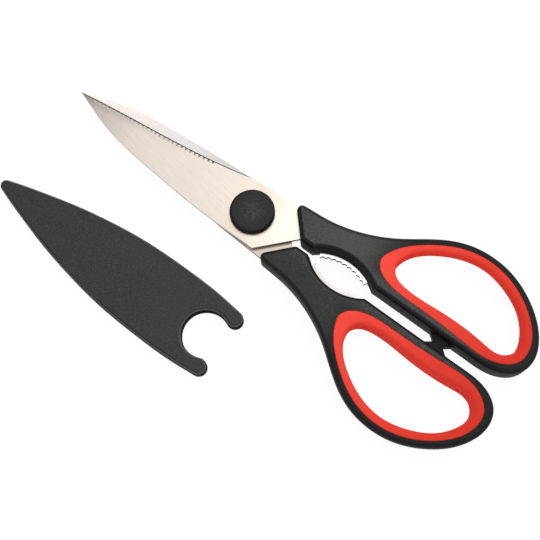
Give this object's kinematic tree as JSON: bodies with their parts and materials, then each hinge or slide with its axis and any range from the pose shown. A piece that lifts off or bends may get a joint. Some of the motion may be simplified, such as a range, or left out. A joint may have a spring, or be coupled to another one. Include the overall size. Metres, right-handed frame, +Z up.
{
  "type": "kitchen shears",
  "caption": "Kitchen shears with steel blades, black handles with soft red finger loops, a toothed nutcracker gap and a forked blade sheath laid beside them.",
  "frame": {"origin": "on the pivot axis, at the flat bottom of the rear pivot cap, which stands on the table", "axes": "+X along the closed shears from the pivot towards the handles, +Y towards the upper handle, +Z up from the table along the pivot axis"},
  "size_m": [0.2174, 0.1101, 0.013],
  "materials": {
    "blade_steel": "cross-brushed stainless steel",
    "jaw_steel": "stamped bright steel",
    "black_plastic": "fine-grained black hard plastic",
    "red_rubber": "smooth red soft-touch rubber",
    "fastener_steel": "plain machined steel",
    "sheath_plastic": "spark-grained black plastic"
  },
  "bodies": {
    "lower_half": {"rear_blade": "blade_steel", "lower_handle": "black_plastic", "lower_grip": "red_rubber", "lower_jaw": "jaw_steel", "pivot_bolt": "fastener_steel", "front_washer": "fastener_steel", "spring_washer": "fastener_steel", "pivot_nut": "fastener_steel", "front_cap": "black_plastic", "rear_cap": "black_plastic"},
    "upper_half": {"front_blade": "blade_steel", "upper_handle": "black_plastic", "upper_grip": "red_rubber", "upper_jaw": "jaw_steel"},
    "sheath": {"sheath_front_shell": "sheath_plastic", "sheath_back_shell": "sheath_plastic"}
  },
  "joints": [
    {"name": "blade_pivot", "type": "hinge", "parent": "lower_half", "child": "upper_half", "pos_m": [0, 0, 0.0065], "axis": [0, 0, 1], "range_deg": [0, 95]},
    {"name": "sheath_slide", "type": "slide", "parent": "lower_half", "child": "sheath", "axis": [-1, 0, 0], "range_m": [0, 0.11]}
  ]
}
